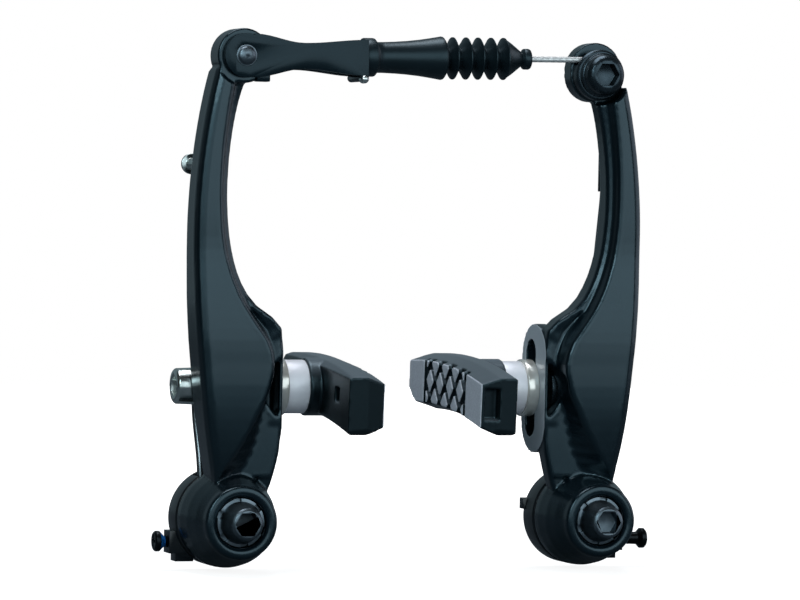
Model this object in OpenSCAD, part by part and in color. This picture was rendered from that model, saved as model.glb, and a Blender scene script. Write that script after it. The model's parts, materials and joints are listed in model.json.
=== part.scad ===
// Linear-pull rim brake: two cast arms on frame studs, joined by a link and a cable.
// Frame: +X to the right of the rider's front view, +Y towards the frame, +Z up.
// Origin: midway between the two studs, on the plane of the stud seats (y = 0).

/* [Linkage] */
// Distance between the two stud axes
stud_spacing = 88; // [80:0.5:96]
// Stud axis to link pivot or cable anchor
arm_len = 107; // [104:0.5:112]
// Pad post height above the stud axis
post_z = 30.5; // [29:0.5:33]
// Pad post axis, ahead of the stud seat
post_ahead = 5.5; // [5:0.1:6.3]
// Distance between the two friction faces
pad_gap = 23.5; // [20:0.5:30]
// How far the cable anchor sits below the link pivot's height
anchor_drop = 2.1; // [1.5:0.1:2.8]

/* [Arm] */
// Boss length, from the front ring back to the stud seat
boss_len = 24; // [22:0.5:28]
// Radius of the boss front ring
ring_r = 8.6; // [8.2:0.1:9.4]
// Radius of the boss at its rear rim
boss_r = 11.4; // [11:0.1:12]
// Depth of the recess in the front ring
recess_depth = 3; // [2.5:0.1:3.5]
// Radius of the recess in the front ring
recess_r = 5.9; // [5.8:0.1:6.4]
// Front face of the spine, ahead of the stud seat
face_y = 20.8; // [20:0.1:22]
// Outermost reach of the spine from the stud axis
spine_out = 10.8; // [9.5:0.1:12]
// Depth of the step from the spine face down to the web
web_step = 5.4; // [4.5:0.1:6]
// Inner face of the slotted plate, inboard of the stud axis
plate_in = 11.7; // [11.2:0.1:12.2]
// Thickness of the slotted plate
plate_t = 3.1; // [2.6:0.1:3.6]
// Width of the slotted plate
plate_w = 16; // [15.2:0.2:16.8]
// How far the plate's middle lies ahead of its slot
plate_lead = 2.1; // [1.5:0.1:2.6]
// Height of the slotted plate
plate_h = 30.6; // [29:0.2:32]
// Length of the plate's slot, end to end
slot_len = 23; // [20:0.5:24]
// Width of the plate's slot
slot_w = 6.5; // [6.3:0.1:7]
// Radius of the eye at the top of each arm
eye_r = 6.3; // [6:0.1:6.8]
// Thickness of the left eye, which the link straddles
eye_t = 7; // [6:0.2:8]

/* [Pivot] */
// Radius of the frame stud
stud_r = 4; // [3.9:0.05:4.1]
// Running clearance of the stud in its bushing
stud_gap = 0.05; // [0.02:0.01:0.1]
// Depth of stud engaged at full fit
stud_seat = 8; // [7:0.5:9]
// Wall of the pivot bushing
bushing_wall = 0.95; // [0.8:0.05:1.1]
// Running clearance of the arm on its bushing
arm_gap = 0.05; // [0.03:0.01:0.1]
// Radius of the pivot bolt's shank
bolt_r = 3; // [2.9:0.05:3.1]
// How far the pivot bolt's head stands out of the front ring
bolt_proud = 4.8; // [4:0.2:6]
// Thickness of the notched collar behind the bolt head
collar_t = 1.7; // [1.4:0.1:2]
// Depth of the spring box behind the arm
box_depth = 8.2; // [7.6:0.1:8.4]

/* [Spring] */
// Radius of the return spring's wire
wire_r = 0.9; // [0.7:0.05:1]
// Mean radius of the spring's coil
coil_r = 6.7; // [6.5:0.1:7]
// Height of the catch pin above the stud axis
catch_z = 82; // [78:0.5:86]
// Radius of the catch pin's shank
catch_r = 1.3; // [1.1:0.1:1.5]
// Radius of the tension screw's shank
screw_r = 1.5; // [1.3:0.05:1.6]

/* [Pads] */
// Pad length along the rim
pad_len = 54; // [48:1:58]
// How far the pad's middle lies behind its post
pad_shift = 3; // [0:0.5:6]
// Tilt of the pad, front end down, in degrees
pad_tilt = 4; // [0:0.5:6]
// Radius of the pad's arch along the rim
pad_arch = 190; // [160:5:320]
// Pad height
pad_h = 13.4; // [12:0.2:15]
// Pad thickness from friction face to back at mid length
pad_t = 10; // [9:0.2:10.6]
// Width of the grooves in the friction face
groove_w = 1.9; // [1.2:0.1:2.2]
// Depth of the grooves in the friction face
groove_d = 1.3; // [0.8:0.1:2]
// Radius of the pad's threaded post
post_r = 3; // [2.8:0.05:3.1]
// Radius of the pale spacer between pad and arm
spacer_r = 6.3; // [6:0.1:6.8]
// Radius of the dished washers
washer_r = 6.8; // [6.4:0.1:7]
// Radius of the barrel nut
nut_r = 4.75; // [4.6:0.05:4.8]
// How far the barrel nut ends outboard of the stud axis
nut_out = 12.5; // [11:0.5:14]

/* [Link and cable] */
// Link pivot to the far face of the link's end plate
link_len = 29.4; // [27:0.2:32]
// Thickness of the link's sheet
sheet_t = 1.5; // [1.2:0.1:1.8]
// Radius of the link's round end
link_r = 5.1; // [4.6:0.1:5.4]
// Length of the bellows boot
boot_len = 41.4; // [38:0.2:43]
// Radius of the boot's ridges
ridge_r = 5; // [4.6:0.1:5.4]
// Radius of the brake cable
cable_r = 0.8; // [0.7:0.05:0.9]
// Radius of the anchor bolt's shank
anchor_r = 2.5; // [2.4:0.05:2.6]
// Radius of the anchor bolt's head
anchor_head_r = 5.2; // [4.9:0.1:5.6]

/* [Hidden] */
$fn = 64;
eps = 0.01;
seat_gap = 0.2;
soft_gap = 0.3;
black = "#20282c";
dark = "#15191b";
silver = "#c8ccd0";
steel = "#9aa0a4";

// Pivot: radii and planes, front faces counted as negative y
bushing_r = stud_r + stud_gap + bushing_wall;
arm_bore_r = bushing_r + arm_gap;
ring_y = -boss_len;
recess_y = ring_y + recess_depth;
collar_back = recess_y - seat_gap;
collar_front = collar_back - collar_t;
collar_r = recess_r - soft_gap;
boss_back = -box_depth - soft_gap;
bolt_front = ring_y - bolt_proud;
shank_gap = 0.25;
flange_r = bushing_r + 1.6;
flange_t = 1.5;

// Spring box, its coil space and the lug of its tension screw
box_wall = 2.2;
coil_space_r = boss_r - box_wall;
box_floor = 2.2;
coil_y = -(box_floor + wire_r + 0.9);
wire_x = -4.4;
wire_exit_z = 12;
lug_z = -5.6;
lug_y = -4;
lug_end = boss_r + 0.9;
lug_in = 6.4;
lug_w = 5;
tab_len = 0.4;
tab_t = 2.4;
tab_h = 2.6;
screw_head_r = 2.4;
screw_head_t = 1.3;
left_screw_out = 3.2;
right_screw_out = 6.6;

// Pad hardware, counted inboard from the stud axis along the post
post_y = -post_ahead;
plate_out = plate_in - plate_t;
dish_r = 10;
cup_r = washer_r - 1.6;
dish_h = dish_r - sqrt(dish_r * dish_r - cup_r * cup_r);
dish_n = 8;
post_hole_r = post_r + 0.3;
inner_washer_t = 2.7;
outer_washer_t = 1.7;
outer_cup_t = 2.4;
friction_x = (stud_spacing - pad_gap) / 2;
pad_back = friction_x - pad_t;
pad_collar_t = 2.6;
spacer_end = pad_back - pad_collar_t;
spacer_start = plate_in + inner_washer_t;
cup_out = plate_out - outer_washer_t - outer_cup_t;
pocket_r = washer_r + 0.4;
notch_r = 8.3;
post_out = -5;
flank_h = pad_h / 2;
face_h = flank_h - 1.7;
mid_x = friction_x - 4.4;
groove_angle = 40;
lattice_front = -0.26 * pad_len;
lattice_rear = 0.27 * pad_len;
lattice_pitch = (lattice_rear - lattice_front) / 4;

// Arm stations, bottom to top: height, outer edge, ridge, inner edge, face, web face, back
web_in = plate_in - 0.15;
web_y = -face_y + web_step;
beam_y = -face_y + 1.1;
bevel_y = beam_y + 3.1;
so = 10.8 - spine_out;
st = [
    [post_z - 25, -4.6 + so, -4.2, 8.4, -face_y + 3.4, web_y + 0.8, -8.6],
    [post_z - 22, -5.2 + so, -4.5, 9.5, -face_y + 2.2, web_y + 0.4, -8.6],
    [post_z - 18, -6.0 + so, -2.6, web_in - 1, -face_y + 1.2, web_y + 0.1, -8.6],
    [post_z - 14, -6.8 + so, 0.1, web_in - 0.2, -face_y + 0.7, web_y, -8.6],
    [post_z - 7, -7.9 + so, 3.9, web_in, -face_y + 0.2, web_y, -8.6],
    [post_z, -8.7 + so, 7.0, web_in, -face_y, web_y, -8.6],
    [post_z + 6, -9.3 + so, 8.0, web_in, -face_y, web_y, -8.6],
    [post_z + 11, -9.8 + so, 6.6, web_in, -face_y, web_y - 0.3, -8.6],
    [post_z + 15, -10.1 + so, 3.8, 10.6, -face_y + 0.1, web_y - 0.8, -8.7],
    [arm_len - 57, -10.4 + so, 0.8, 4.4, -face_y + 0.3, bevel_y - 0.2, -8.8],
    [arm_len - 52, -10.6 + so, -1.6, 1.0, -face_y + 0.6, bevel_y, -9.0],
    [arm_len - 45, -10.8 + so, -3.7, -1.3, beam_y, bevel_y, -9.3],
    [arm_len - 37, -10.8 + so, -4.7, -2.4, beam_y, bevel_y, -9.5],
    [arm_len - 29, -10.4 + so, -4.9, -2.6, beam_y, bevel_y, -9.6],
    [arm_len - 21, -9.6 + so, -4.5, -2.1, beam_y, bevel_y, -9.6],
    [arm_len - 13, -8.4 + so, -3.6, -0.9, beam_y, bevel_y, -9.6],
    [arm_len - 7, -7.2, -2.6, 0.7, beam_y, bevel_y, -9.6],
    [arm_len - 3, -6.2, -1.8, 2.4, beam_y, bevel_y, -9.6]];
rib_w = 3.3;
valley_d = 2.4;
loft_step = 2.6;
loft_bottom = st[0][0];
loft_top = st[len(st) - 1][0];

// Top of the arms: the cable plane, the left eye between the link's cheeks, the right eye
cable_y = -15.5;
left_eye_front = cable_y - eye_t / 2;
left_eye_back = cable_y + eye_t / 2;
right_eye_front = cable_y + cable_r + soft_gap;
right_eye_back = -9.7;
crescent_r = eye_r + 0.7;
rivet_r = 2.5;
anchor_washer_r = 6;
anchor_washer_front = cable_y - cable_r - soft_gap - 1.3;
anchor_front = anchor_washer_front - 4.5;
cable_rise = anchor_r + cable_r + soft_gap;
reach = norm([stud_spacing, anchor_drop]);
cable_tilt = asin(cable_rise / reach) - atan2(anchor_drop, stud_spacing);
run_len = sqrt(reach * reach - cable_rise * cable_rise);
anchor_z = arm_len - anchor_drop;
right_eye_z = arm_len - anchor_drop / 3;

// Link: cheeks, end plate with its keyhole, and the short nose of the guide pipe
cheek_gap = 0.2;
cheek_in = eye_t / 2 + cheek_gap;
cheek_out = cheek_in + sheet_t;
link_top = 3.9;
link_bottom = 4.4;
neck_h = 3;
neck_x = 14;
keyhole_r = 2.7;
bead_r = 0.95;
nose_r = 2.5;
boot_start = link_len;
boot_wall = 0.9;

// Catch pin and the spring's upper end
catch_x = -8.3;
catch_seat = -9.7;
catch_back = -4.2;
sleeve_r = 1.5;
sleeve_x = catch_x + catch_r + sleeve_r + 0.05;
sleeve_y = -7.3;
sleeve_len = 9;

// Solids of revolution along Y and X, and a mirrored place for each side
module ycyl(r, y0, y1) translate([0, y0, 0]) rotate([-90, 0, 0]) cylinder(r = r, h = y1 - y0);
module xcyl(r, x0, x1) translate([x0, 0, 0]) rotate([0, 90, 0]) cylinder(r = r, h = x1 - x0);
module yturn() rotate([-90, 0, 0]) rotate_extrude() children();
module xturn() rotate([0, 90, 0]) rotate_extrude() children();
module at_post(z = post_z) translate([0, post_y, z]) children();
module at_eye(z = arm_len) translate([0, 0, z]) children();
module left_side() translate([-stud_spacing / 2, 0, 0]) children();
module right_side() translate([stud_spacing / 2, 0, 0]) mirror([1, 0, 0]) children();
// The link's own frame: X along the cable's run from the left eye
module link_frame() translate([-stud_spacing / 2, cable_y, arm_len]) rotate([0, -cable_tilt, 0]) children();

// Smooth value of column k of the stations at height z
function seg(z, i = 0) = (i >= len(st) - 2 || z < st[i + 1][0]) ? i : seg(z, i + 1);
function slope(k, i) = let (a = max(i - 1, 0), b = min(i + 1, len(st) - 1))
    (st[b][k] - st[a][k]) / (st[b][0] - st[a][0]);
function val(k, z) = let (i = seg(z), h = st[i + 1][0] - st[i][0], t = (z - st[i][0]) / h)
    (2 * t * t * t - 3 * t * t + 1) * st[i][k] + (t * t * t - 2 * t * t + t) * h * slope(k, i)
    + (3 * t * t - 2 * t * t * t) * st[i + 1][k] + (t * t * t - t * t) * h * slope(k, i + 1);

// One cross-section of the spine, its valley and its inner rib, from the rear outer corner
function section(z) = let (xo = val(1, z), xr = val(2, z), xi = val(3, z),
        yf = val(4, z), yi = val(5, z), yb = val(6, z), k = min(1, (xr - xo) / 3),
        w = min(1, (xi - xr) / 6), d = max(0, min(1, (xi - xr - 3) / 4))) [
    [xo + 2, yb, z], [xo + 0.5, yb - 0.4, z], [xo, yb - 1.9, z],
    [xo, yf + 2.4, z], [xo + 0.6 * k, yf + 0.7, z], [xo + 2 * k, yf, z],
    [xr - 0.6 * k, yf, z], [xr + 0.2, yf + 0.5, z],
    [xi - (rib_w + 0.8) * w, yi - 0.9 * (1 - d) + valley_d * d, z],
    [xi - rib_w * w, yi - 0.5 * (1 - d), z], [xi - 0.5, yi - 0.1, z], [xi, yi + 0.7, z],
    [xi, yb - 2.2, z], [xi - 1.6, yb, z]];

module spine() {
    n = len(section(loft_bottom));
    count = ceil((loft_top - loft_bottom) / loft_step);
    zs = [for (i = [0:count]) loft_bottom + (loft_top - loft_bottom) * i / count];
    points = [for (z = zs) each section(z)];
    sides = [for (j = [0:count - 1], i = [0:n - 1]) let (a = j * n + i, b = j * n + (i + 1) % n)
        each [[a, a + n, b + n], [a, b + n, b]]];
    polyhedron(points, concat([[for (i = [0:n - 1]) i]], sides,
        [[for (i = [n - 1:-1:0]) count * n + i]]));
}

module boss() yturn() polygon([[0, ring_y], [ring_r - 0.9, ring_y], [ring_r - 0.25, ring_y + 0.3],
    [ring_r, ring_y + 1], [ring_r + 0.15, ring_y + 2.4], [ring_r + 1.1, ring_y + 5.4],
    [boss_r - 0.7, ring_y + 9], [boss_r - 0.1, ring_y + 12.6], [boss_r, boss_back - 0.8],
    [boss_r - 0.5, boss_back], [0, boss_back]]);

module stadium(w, h) {
    square([w, h - w], center = true);
    for (s = [-1, 1]) translate([0, s * (h - w) / 2]) circle(w / 2);
}

module plate_cut(x0, x1, w, h) translate([x0, post_y, post_z]) rotate([90, 0, 90])
    linear_extrude(x1 - x0) stadium(w, h);

// Round notch in the rib ahead of the outer washers
module washer_notch() intersection() {
    translate([plate_out + notch_r - 1.2, 0, post_z]) ycyl(notch_r, -face_y - 5, post_y - washer_r + 3);
    translate([plate_out - 2, -face_y - 5, post_z - notch_r]) cube([plate_t + 1.1, 40, 2 * notch_r]);
}

module arm_cuts() {
    ycyl(arm_bore_r, ring_y - 1, 0);
    ycyl(recess_r, ring_y - 1, recess_y);
    yturn() polygon([[0, ring_y - eps], [recess_r + 0.7, ring_y - eps], [recess_r, ring_y + 0.7],
        [0, ring_y + 0.7]]);
    plate_cut(plate_out - 1, plate_in + 1, slot_w, slot_len);
    at_post() xcyl(pocket_r, cup_out - 0.6, plate_out);
    washer_notch();
    at_post() xcyl(nut_r + 0.25, -spine_out - 8, cup_out);
    translate([catch_x, 0, catch_z]) ycyl(catch_r, catch_seat - 3, 0);
}

module arm_form(eye_front, eye_back, eye_z, lobe_z) {
    difference() {
        union() {
            difference() {
                spine();
                for (z = [eye_z, lobe_z]) {
                    at_eye(z) ycyl(crescent_r, -40, eye_front);
                    at_eye(z) ycyl(crescent_r, eye_back, 10);
                }
            }
            boss();
            translate([0, -plate_lead, 0]) plate_cut(plate_out, plate_in, plate_w, plate_h);
            at_eye(eye_z) ycyl(eye_r, eye_front, eye_back);
            at_eye(lobe_z) ycyl(eye_r, eye_front, eye_back);
        }
        arm_cuts();
        children();
    }
}

module left_arm() color(black) left_side() arm_form(left_eye_front, left_eye_back, arm_len, arm_len)
    at_eye() ycyl(rivet_r + arm_gap, left_eye_front - 1, left_eye_back + 1);

module right_arm() color(black) right_side()
    arm_form(right_eye_front, right_eye_back, right_eye_z, anchor_z)
    at_eye(anchor_z) ycyl(anchor_r, right_eye_front - 1, right_eye_back + 1);

// Steel bushing on the stud: plain bore, grease relief, then a wall the bolt passes
module pivot_bushing() color(steel) difference() {
    union() {
        ycyl(bushing_r, collar_back, 0);
        ycyl(flange_r, -flange_t, 0);
    }
    ycyl(stud_r + stud_gap, -stud_seat, 1);
    ycyl(stud_r + 0.45, -stud_seat - 7, -stud_seat);
    ycyl(bolt_r + shank_gap, collar_back - 1, -stud_seat - 7 + eps);
}

// Notched collar that keeps the arm on its bushing
module pivot_collar() color(dark) difference() {
    ycyl(collar_r, collar_front, collar_back);
    ycyl(bolt_r + shank_gap, collar_front - 1, collar_back + 1);
    for (a = [0:60:300]) rotate([0, a + 20, 0]) translate([4.6, collar_front - 1, -0.9]) cube([2, 2, 1.8]);
}

module pivot_bolt() color(dark) difference() {
    union() {
        yturn() polygon([[0, bolt_front], [3.1, bolt_front], [3.7, bolt_front + 0.5],
            [4.1, bolt_front + 2.4], [4.9, collar_front - 0.5], [4.9, collar_front], [0, collar_front]]);
        ycyl(bolt_r, collar_front - eps, -stud_seat - 0.2);
    }
    translate([0, bolt_front - eps, 0]) rotate([-90, 0, 0]) cylinder(r = 2.9, h = 3.2, $fn = 6);
}

// Plastic box behind the boss: it holds the coil and the lug of the tension screw
module spring_box() color(dark) difference() {
    union() {
        yturn() polygon([[0, -box_depth], [boss_r - 0.3, -box_depth], [boss_r, -box_depth + 0.5],
            [boss_r, -1.6], [boss_r - 1.4, 0], [0, 0]]);
        translate([-lug_end, lug_y - lug_w / 2, lug_z - screw_r - 1.2])
            cube([lug_end - 5, lug_w, 2 * screw_r + 2.2]);
        translate([-lug_end + 1.6, lug_y - lug_w / 2 + 0.4, lug_z - 4.6])
            cube([lug_end - lug_in - 1.6, lug_w - 0.8, 4]);
        translate([boss_r - 3, -tab_t, 1.4]) cube([tab_len + 3, tab_t, tab_h]);
    }
    ycyl(bushing_r, -box_depth - 1, 1);
    ycyl(flange_r, -flange_t, 1);
    difference() {
        ycyl(coil_space_r, -box_depth - 1, -box_floor);
        translate([-lug_end, -box_depth - 1, lug_z - 2.9]) cube([lug_end - coil_r - 0.6, box_depth, 5.8]);
    }
    translate([wire_x - 1.6, -box_depth - 1, 4]) cube([3.2, box_depth - box_floor + 1, boss_r]);
    translate([0, lug_y, lug_z]) xcyl(screw_r, -lug_end - 1, -coil_r - 2.4);
}

module tension_screw(out) color(dark) translate([0, lug_y, lug_z]) difference() {
    tip = -lug_end - out;
    union() {
        xcyl(screw_r, tip, -coil_r - 2.6);
        xturn() polygon([[0, tip], [screw_head_r - 0.4, tip], [screw_head_r, tip + 0.4],
            [screw_head_r, tip + screw_head_t], [screw_r, tip + screw_head_t + 0.9],
            [0, tip + screw_head_t + 0.9]]);
    }
    for (a = [0, 90]) rotate([a, 0, 0]) translate([tip - 1, -0.35, -1.5]) cube([1.8, 0.7, 3]);
}

// A bent wire: cylinders between points, with balls at the bends
module wire(points, r) for (i = [0:len(points) - 2]) {
    d = points[i + 1] - points[i];
    translate(points[i]) {
        if (i > 0) sphere(r * 1.04);
        rotate([0, acos(d[2] / norm(d)), atan2(d[1], d[0])]) cylinder(r = r, h = norm(d));
    }
}

leg_start = [wire_x, coil_y, sqrt(coil_r * coil_r - wire_x * wire_x)];
leg_back = post_y + nut_r + wire_r + 0.6;
leg_points = [leg_start, [wire_x, coil_y, wire_exit_z], [wire_x - 0.3, leg_back, post_z - 6],
    [wire_x - 0.4, leg_back, post_z + 6], [sleeve_x, sleeve_y, catch_z - sleeve_len / 2],
    [sleeve_x, sleeve_y, catch_z + sleeve_len / 2 + 1.5]];

module spring() color(silver) {
    translate([0, coil_y, 0]) rotate([-90, 0, 0]) rotate_extrude() translate([coil_r, 0]) circle(wire_r);
    wire(leg_points, wire_r);
}

module spring_sleeve() color(dark) translate([sleeve_x, sleeve_y, catch_z - sleeve_len / 2]) difference() {
    cylinder(r = sleeve_r, h = sleeve_len);
    translate([0, 0, -1]) cylinder(r = wire_r + 0.05, h = sleeve_len + 2);
}

module catch_pin() color(silver) translate([catch_x, 0, catch_z]) {
    ycyl(catch_r, catch_seat - 3, catch_back - 1);
    yturn() polygon([[0, catch_back - 1.2], [2.4, catch_back - 1.2], [2.4, catch_back - 0.4],
        [1.8, catch_back], [0, catch_back]]);
}

// Moulded pad: a bar arched along the rim, with prow-shaped ends and a curved back
module pad_plan() {
    half = pad_len / 2;
    back = [for (i = [0:12]) let (u = -1 + i / 6) [pad_back + 1.3 * u * u, (half - 0.3) * u]];
    polygon(concat([[friction_x, half - 1], [friction_x, -half + 1], [mid_x, -half]], back,
        [[mid_x, half]]));
}

module pad_bar() translate([0, 0, -pad_arch]) rotate([0, 90, 0]) rotate_extrude($fn = 720)
    polygon([[pad_arch - flank_h + 1.8, pad_back - 1], [pad_arch - flank_h, pad_back + 2],
        [pad_arch - flank_h, mid_x], [pad_arch - face_h, friction_x], [pad_arch + face_h, friction_x],
        [pad_arch + flank_h, mid_x], [pad_arch + flank_h, pad_back + 2],
        [pad_arch + flank_h - 1.8, pad_back - 1]]);

// Side outline: the rear end rounds off from above and below, the front end only a little
module pad_side() {
    half = pad_len / 2;
    polygon([[-half - 1, -flank_h + 1.2], [-half + 3.5, -pad_h], [half - 11, -pad_h],
        [half - 9, -flank_h - 0.4], [half - 4, -flank_h + 1.4], [half + 1, -flank_h + 5],
        [half + 1, flank_h - 4.6], [half - 3, flank_h - 1.9], [half - 9, flank_h], [half - 12, pad_h],
        [-half + 5, pad_h], [-half - 1, flank_h - 2.2]]);
}

module groove(s, x) translate([friction_x, x, 0]) rotate([s * groove_angle, 0, 0])
    translate([-groove_d, -groove_w / 2, -pad_len]) cube([groove_d + 1, groove_w, 2 * pad_len]);

module pad() color(dark) at_post() rotate([pad_tilt, 0, 0]) difference() {
    union() {
        translate([0, pad_shift, 0]) intersection() {
            translate([0, 0, -pad_h]) linear_extrude(2 * pad_h) pad_plan();
            pad_bar();
            rotate([90, 0, 90]) linear_extrude(2 * friction_x) pad_side();
        }
        xcyl(washer_r, spacer_end, pad_back + 2);
    }
    xcyl(post_r, spacer_end - 1, friction_x - 4.5);
    translate([0, pad_shift, 0]) {
        for (y = [lattice_front, lattice_rear]) groove(0, y);
        intersection() {
            for (s = [-1, 1], k = [-2:2])
                groove(s, (lattice_front + lattice_rear) / 2 + k * lattice_pitch);
            translate([0, lattice_front, -pad_h])
                cube([2 * friction_x, lattice_rear - lattice_front, 2 * pad_h]);
        }
        translate([pad_back - 1, -0.36 * pad_len, -1.1]) cube([2.4, 0.9, 2.2]);
    }
}

module pad_post() color(steel) at_post() xcyl(post_r, post_out, friction_x - 4.5);

// Dished washers: a ball face on one side that seats in the cup of the next piece
function bulge(q) = sqrt(dish_r * dish_r - q * q) - sqrt(dish_r * dish_r - cup_r * cup_r);
function dish(x, s) = [for (i = [dish_n:-1:0]) let (q = cup_r * i / dish_n) [q, x + s * bulge(q)]];

module ball_washer(x0, t, s) difference() {
    xturn() polygon(concat([[0, x0], [washer_r, x0], [washer_r, x0 + s * (t - dish_h)]],
        dish(x0 + s * (t - dish_h), s)));
    xcyl(post_hole_r, x0 - 2 * t, x0 + 2 * t);
}

module inner_washer() color(dark) at_post() ball_washer(plate_in, inner_washer_t + dish_h, 1);
module outer_washer() color(dark) at_post() ball_washer(plate_out, outer_washer_t + dish_h, -1);

module pad_spacer() color(silver) at_post() difference() {
    xcyl(spacer_r, spacer_start + 0.05, spacer_end);
    xturn() polygon(concat([[0, spacer_start - 1], [cup_r, spacer_start - 1]],
        dish(spacer_start + 0.05, 1)));
    xcyl(post_hole_r, spacer_start - 1, spacer_end + 1);
}

module outer_cup() color(dark) at_post() difference() {
    xcyl(washer_r, cup_out, plate_out - outer_washer_t - 0.05);
    xturn() polygon(concat([[0, plate_out], [cup_r, plate_out]],
        dish(plate_out - outer_washer_t - 0.05, -1)));
    xcyl(post_hole_r, cup_out - 1, plate_out + 1);
}

module pad_nut() color(silver) at_post() difference() {
    xturn() polygon([[0, -nut_out], [nut_r - 0.5, -nut_out], [nut_r, -nut_out + 0.5], [nut_r, cup_out],
        [0, cup_out]]);
    xcyl(post_r, post_out, cup_out + 1);
    translate([-nut_out - 1, 0, 0]) rotate([0, 90, 0]) cylinder(r = 2.9, h = 5.5, $fn = 6);
}

// Link: one folded sheet, two waisted cheeks joined by the end plate
function waist(x, full) = let (far = x < neck_x ? 2 : link_len)
    neck_h + (full - neck_h) * pow(sin(90 * min(1, abs(x - neck_x) / abs(far - neck_x))), 2);
function half_height(x, end) = waist(x, x < neck_x ? link_r - 0.1 : end);

module cheek_outline() {
    xs = [for (i = [0:16]) 2 + (link_len - 2) * i / 16];
    circle(link_r);
    polygon(concat([for (x = xs) [x, half_height(x, link_top)]],
        [for (i = [16:-1:0]) [xs[i], -half_height(xs[i], link_bottom)]]));
}

module link() color(black) link_frame() difference() {
    union() {
        for (y = [-cheek_out, cheek_in]) translate([0, y + sheet_t, 0]) rotate([90, 0, 0])
            linear_extrude(sheet_t) cheek_outline();
        translate([link_len - sheet_t, -cheek_out, -link_bottom])
            cube([sheet_t, 2 * cheek_out, link_top + link_bottom]);
        translate([link_len - bead_r, 0, -link_bottom - 0.4]) ycyl(bead_r, -cheek_out, cheek_out);
    }
    ycyl(rivet_r - eps, -cheek_out - 1, cheek_out + 1);
    xcyl(keyhole_r, link_len - sheet_t - 1, link_len + 1);
    translate([link_len - sheet_t - 1, -1, 0]) cube([sheet_t + 2, 2, link_top + 1]);
}

module link_rivet() color(black) link_frame() {
    ycyl(rivet_r - eps, -cheek_out - 0.1, cheek_out + 0.1);
    for (m = [0, 1]) mirror([0, m, 0]) yturn() polygon([[0, -cheek_out - 1],
        [0.9, -cheek_out - 0.9], [1.7, -cheek_out - 0.6], [2.3, -cheek_out], [0, -cheek_out]]);
}

// Nose of the guide pipe: a collar behind the end plate and a tip inside the boot
module pipe_nose() color(silver) link_frame() difference() {
    xturn() polygon([[0, link_len - 7], [2.2, link_len - 7], [2.2, link_len - sheet_t - 1.6],
        [3.4, link_len - sheet_t - 1.6], [3.4, link_len - sheet_t], [nose_r, link_len - sheet_t],
        [nose_r, link_len + 3], [1.9, link_len + 12], [0, link_len + 12]]);
    xcyl(cable_r + 0.3, link_len - 8, link_len + 13);
}

// Rubber boot: collar, tapered sleeve, five sharp ridges, cone and small end flange
ridge_x = [22.2, 25.5, 28.5, 31.7, 34.8];
valley_x = [20.8, 23.7, 27, 30, 33.3, 39.3];
valley_r = 2.6;
neck_r = 1.65;
boot_outer = concat([[4.2, 0], [4.5, 0.3], [4.5, 2.6], [4.1, 3], [3.55, 3.5], [3.7, 8], [4.1, 13], [5, 18.6],
    [5.1, 19.4]], [for (i = [0:4]) each [[valley_r, valley_x[i]], [ridge_r, ridge_x[i]]]],
    [[neck_r, valley_x[5]], [2.45, 39.8], [2.45, boot_len - 0.3], [2.2, boot_len]]);
boot_inner = concat([[nose_r + 0.05, 0], [nose_r + 0.05, 3.2], [2.7, 8], [3.2, 13], [4.1, 18.6]],
    [for (i = [0:4]) each [[valley_r - boot_wall, valley_x[i]], [ridge_r - boot_wall * 1.4, ridge_x[i]]]],
    [[cable_r + 0.2, valley_x[5] - 1], [cable_r + 0.2, boot_len]]);

module boot() color(dark) link_frame() xturn() translate([0, boot_start])
    polygon(concat(boot_outer, [for (i = [len(boot_inner) - 1:-1:0]) boot_inner[i]]));

module cable() color(silver) link_frame() xcyl(cable_r, link_len - 5, run_len + 4.2);

module anchor_washer() color(dark) right_side() at_eye(anchor_z) difference() {
    yturn() polygon([[0, anchor_washer_front], [anchor_washer_r - 0.5, anchor_washer_front],
        [anchor_washer_r, anchor_washer_front + 0.5], [anchor_washer_r, right_eye_front],
        [0, right_eye_front]]);
    ycyl(anchor_r, anchor_washer_front - 1, right_eye_front + 1);
    translate([-20, cable_y - cable_r - soft_gap, cable_rise - cable_r - 0.6])
        cube([40, 20, 2 * cable_r + 1.3]);
}

module anchor_bolt() color(dark) right_side() at_eye(anchor_z) difference() {
    union() {
        yturn() polygon([[0, anchor_front], [2.9, anchor_front], [3.9, anchor_front + 0.4],
            [4.6, anchor_front + 1.3], [4.8, anchor_front + 2.9], [anchor_head_r, anchor_front + 3.1],
            [anchor_head_r, anchor_washer_front], [0, anchor_washer_front]]);
        ycyl(anchor_r, anchor_washer_front - eps, right_eye_back + 1.2);
    }
    translate([0, anchor_front - eps, 0]) rotate([-90, 0, 0]) cylinder(r = 2.9, h = 3, $fn = 6);
}

left_arm();
right_arm();
left_side() pivot_bushing();  // left_pivot_bushing
right_side() pivot_bushing();  // right_pivot_bushing
left_side() pivot_collar();  // left_pivot_collar
right_side() pivot_collar();  // right_pivot_collar
left_side() pivot_bolt();  // left_pivot_bolt
right_side() pivot_bolt();  // right_pivot_bolt
left_side() spring_box();  // left_spring_box
right_side() spring_box();  // right_spring_box
left_side() tension_screw(left_screw_out);  // left_tension_screw
right_side() tension_screw(right_screw_out);  // right_tension_screw
left_side() spring();  // left_spring
right_side() spring();  // right_spring
left_side() spring_sleeve();  // left_spring_sleeve
right_side() spring_sleeve();  // right_spring_sleeve
left_side() catch_pin();  // left_catch_pin
right_side() catch_pin();  // right_catch_pin
left_side() pad();  // left_pad
right_side() pad();  // right_pad
left_side() pad_post();  // left_pad_post
right_side() pad_post();  // right_pad_post
left_side() pad_spacer();  // left_pad_spacer
right_side() pad_spacer();  // right_pad_spacer
left_side() inner_washer();  // left_inner_washer
right_side() inner_washer();  // right_inner_washer
left_side() outer_washer();  // left_outer_washer
right_side() outer_washer();  // right_outer_washer
left_side() outer_cup();  // left_outer_cup
right_side() outer_cup();  // right_outer_cup
left_side() pad_nut();  // left_pad_nut
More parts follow.
